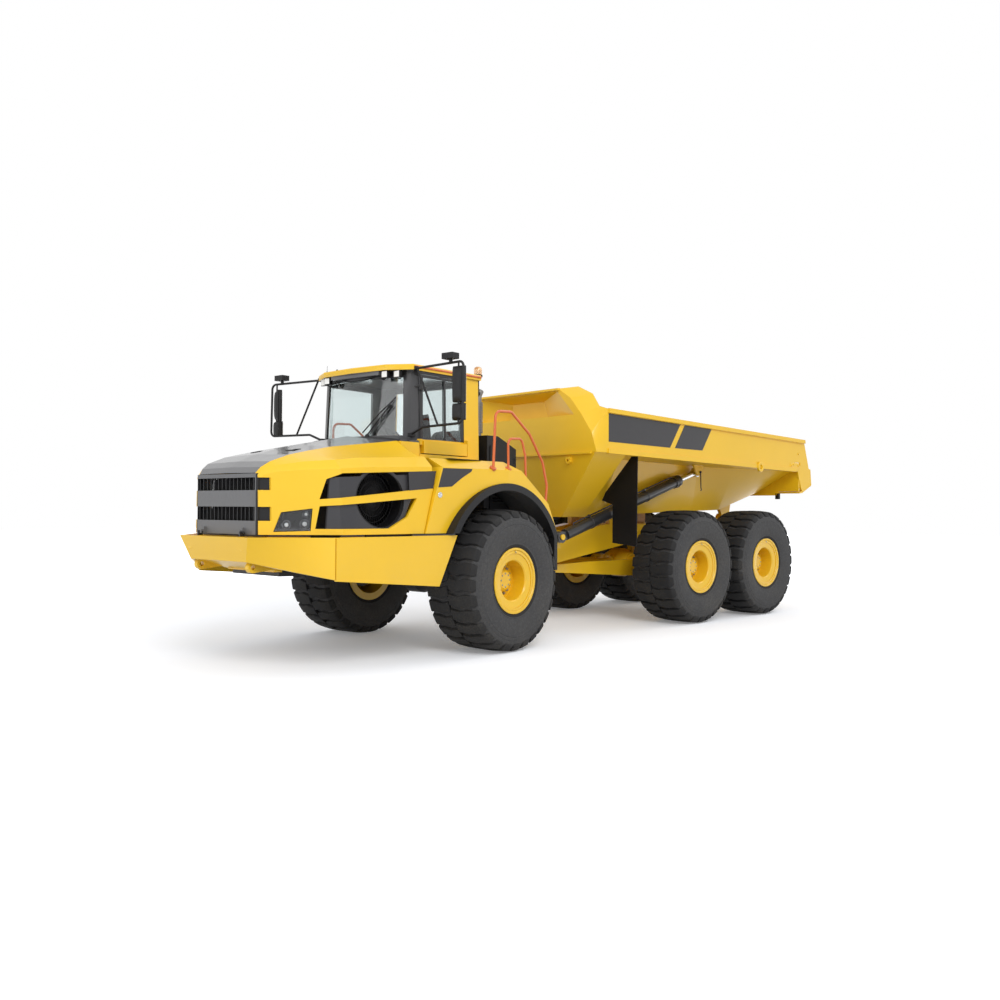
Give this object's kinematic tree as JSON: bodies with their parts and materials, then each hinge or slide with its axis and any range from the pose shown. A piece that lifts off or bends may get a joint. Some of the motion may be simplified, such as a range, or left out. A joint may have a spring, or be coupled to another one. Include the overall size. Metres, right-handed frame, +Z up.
{
  "type": "articulated dump truck",
  "caption": "Articulated dump truck with a tipping body, steering hitch, tilting hood, opening cab door, tipping cylinders and rolling wheels, parked with its front half turned left.",
  "frame": {"origin": "middle of the parked truck's footprint on the ground", "axes": "+X forward along the front half, +Y to its left, +Z up"},
  "size_m": [11.5774, 4.3018, 3.7],
  "materials": {
    "body_yellow": "satin",
    "cover_grey": "satin",
    "frame_grey": "satin",
    "engine_iron": "matte",
    "core_aluminium": "matte",
    "arch_black": "matte",
    "stack_steel": "matte",
    "rail_orange": "satin",
    "tyre_rubber": "matte",
    "flap_rubber": "matte",
    "window_glass": "gloss",
    "lamp_plastic": "gloss",
    "seat_fabric": "matte",
    "cylinder_paint": "satin",
    "rod_chrome": "gloss"
  },
  "bodies": {
    "front_frame": {"chassis_front": "frame_grey", "bumper": "body_yellow", "side_skirts": "body_yellow", "belly_guard": "frame_grey", "front_axle": "frame_grey", "engine_block": "engine_iron", "gearbox": "frame_grey", "radiator": "core_aluminium", "cab_shell": "body_yellow", "cowl": "body_yellow", "cab_roof": "cover_grey", "cab_glass": "window_glass", "operator_seat": "seat_fabric", "dashboard": "arch_black", "fenders": "body_yellow", "arch_liners": "arch_black", "deck_frame": "frame_grey", "equipment_bay": "arch_black", "handrails": "rail_orange", "exhaust_stack": "stack_steel", "mirrors": "arch_black", "work_lamps": "lamp_plastic"},
    "hood": {"hood_top": "cover_grey", "hood_sides": "body_yellow", "grille": "cover_grey", "side_intakes": "cover_grey", "headlamps": "window_glass"},
    "cab_door": {"cab_door": "body_yellow", "door_glass": "window_glass"},
    "hitch": {"hitch_yoke": "frame_grey"},
    "rear_frame": {"rear_frame": "body_yellow", "bogie_beams": "frame_grey", "rear_axles": "body_yellow"},
    "dump_body": {"dump_body": "body_yellow", "mud_flaps": "flap_rubber"},
    "steer_barrel_left": {"steer_barrel_left": "cylinder_paint"},
    "steer_rod_left": {"steer_rod_left": "rod_chrome"},
    "hoist_barrel_left": {"hoist_barrel_left": "cylinder_paint"},
    "hoist_rod_left": {"hoist_rod_left": "rod_chrome"},
    "steer_barrel_right": {"steer_barrel_right": "cylinder_paint"},
    "steer_rod_right": {"steer_rod_right": "rod_chrome"},
    "hoist_barrel_right": {"hoist_barrel_right": "cylinder_paint"},
    "hoist_rod_right": {"hoist_rod_right": "rod_chrome"},
    "wheel_front_left": {"tyre_front_left": "tyre_rubber", "rim_front_left": "body_yellow"},
    "wheel_front_right": {"tyre_front_right": "tyre_rubber", "rim_front_right": "body_yellow"},
    "wheel_middle_left": {"tyre_middle_left": "tyre_rubber", "rim_middle_left": "body_yellow"},
    "wheel_middle_right": {"tyre_middle_right": "tyre_rubber", "rim_middle_right": "body_yellow"},
    "wheel_rear_left": {"tyre_rear_left": "tyre_rubber", "rim_rear_left": "body_yellow"},
    "wheel_rear_right": {"tyre_rear_right": "tyre_rubber", "rim_rear_right": "body_yellow"}
  },
  "joints": [
    {"name": "steer", "type": "hinge", "parent": "front_frame", "child": "hitch", "pos_m": [1.2517, -0.36389, 1.04], "axis": [0, 0, 1], "range_deg": [-37.23, 52.77]},
    {"name": "hitch_twist", "type": "hinge", "parent": "hitch", "child": "rear_frame", "pos_m": [0.75629, -0.2963, 1.04], "axis": [0.9908, -0.1352, 0], "range_deg": [-10, 10]},
    {"name": "hood_tilt", "type": "hinge", "parent": "front_frame", "child": "hood", "pos_m": [5.6887, -0.36389, 1.52], "axis": [0, 1, 0], "range_deg": [0, 50]},
    {"name": "door_swing", "type": "hinge", "parent": "front_frame", "child": "cab_door", "pos_m": [3.4787, 0.55411, 2.58], "axis": [0, 0, -1], "range_deg": [0, 70]},
    {"name": "body_tip", "type": "hinge", "parent": "rear_frame", "child": "dump_body", "pos_m": [-4.36922, 0.40308, 1.64], "axis": [-0.1352, -0.9908, 0], "range_deg": [0, 70]},
    {"name": "hoist_foot_left", "type": "hinge", "parent": "rear_frame", "child": "hoist_barrel_left", "pos_m": [0.65251, 0.66658, 1.39], "axis": [0.1352, 0.9908, 0], "range_deg": [0, 4.33]},
    {"name": "hoist_slide_left", "type": "slide", "parent": "hoist_barrel_left", "child": "hoist_rod_left", "axis": [-0.9462, 0.1291, 0.2967], "range_m": [0, 1.9913]},
    {"name": "hoist_foot_right", "type": "hinge", "parent": "rear_frame", "child": "hoist_barrel_right", "pos_m": [0.39834, -1.19616, 1.39], "axis": [0.1352, 0.9908, 0], "range_deg": [0, 4.33]},
    {"name": "hoist_slide_right", "type": "slide", "parent": "hoist_barrel_right", "child": "hoist_rod_right", "axis": [-0.9462, 0.1291, 0.2967], "range_m": [0, 1.9913]},
    {"name": "steer_foot_left", "type": "hinge", "parent": "front_frame", "child": "steer_barrel_left", "pos_m": [2.1987, 0.19611, 0.96], "axis": [0, 0, 1], "range_deg": [-2.35, 3.2]},
    {"name": "steer_slide_left", "type": "slide", "parent": "steer_barrel_left", "child": "steer_rod_left", "axis": [-0.9758, -0.2187, 0], "range_m": [-0.2021, 0.2857]},
    {"name": "steer_foot_right", "type": "hinge", "parent": "front_frame", "child": "steer_barrel_right", "pos_m": [2.1987, -0.92389, 0.96], "axis": [0, 0, 1], "range_deg": [-2.35, 3.2]},
    {"name": "steer_slide_right", "type": "slide", "parent": "steer_barrel_right", "child": "steer_rod_right", "axis": [-0.9722, 0.2343, 0], "range_m": [-0.2875, 0.2034]},
    {"name": "spin_front_left", "type": "hinge", "parent": "front_frame", "child": "wheel_front_left", "pos_m": [2.5287, 0.95411, 0.895], "axis": [0, 1, 0], "continuous": true},
    {"name": "spin_front_right", "type": "hinge", "parent": "front_frame", "child": "wheel_front_right", "pos_m": [2.5287, -1.68189, 0.895], "axis": [0, 1, 0], "continuous": true},
    {"name": "spin_middle_left", "type": "hinge", "parent": "rear_frame", "child": "wheel_middle_left", "pos_m": [-1.78136, 1.38018, 0.895], "axis": [0.1352, 0.9908, 0], "continuous": true},
    {"name": "spin_middle_right", "type": "hinge", "parent": "rear_frame", "child": "wheel_middle_right", "pos_m": [-2.13773, -1.23162, 0.895], "axis": [0.1352, 0.9908, 0], "continuous": true},
    {"name": "spin_rear_left", "type": "hinge", "parent": "rear_frame", "child": "wheel_rear_left", "pos_m": [-3.70354, 1.64246, 0.895], "axis": [0.1352, 0.9908, 0], "continuous": true},
    {"name": "spin_rear_right", "type": "hinge", "parent": "rear_frame", "child": "wheel_rear_right", "pos_m": [-4.05992, -0.96934, 0.895], "axis": [0.1352, 0.9908, 0], "continuous": true}
  ],
  "couplings": [
    {"joint": "hoist_foot_left", "follows": "body_tip", "ratio": 0.054776},
    {"joint": "hoist_slide_left", "follows": "body_tip", "m_per_rad": 1.6282},
    {"joint": "hoist_foot_right", "follows": "body_tip", "ratio": 0.054776},
    {"joint": "hoist_slide_right", "follows": "body_tip", "m_per_rad": 1.6282},
    {"joint": "steer_foot_left", "follows": "steer", "ratio": 0.055},
    {"joint": "steer_slide_left", "follows": "steer", "m_per_rad": 0.308},
    {"joint": "steer_foot_right", "follows": "steer", "ratio": 0.055},
    {"joint": "steer_slide_right", "follows": "steer", "m_per_rad": -0.31}
  ]
}
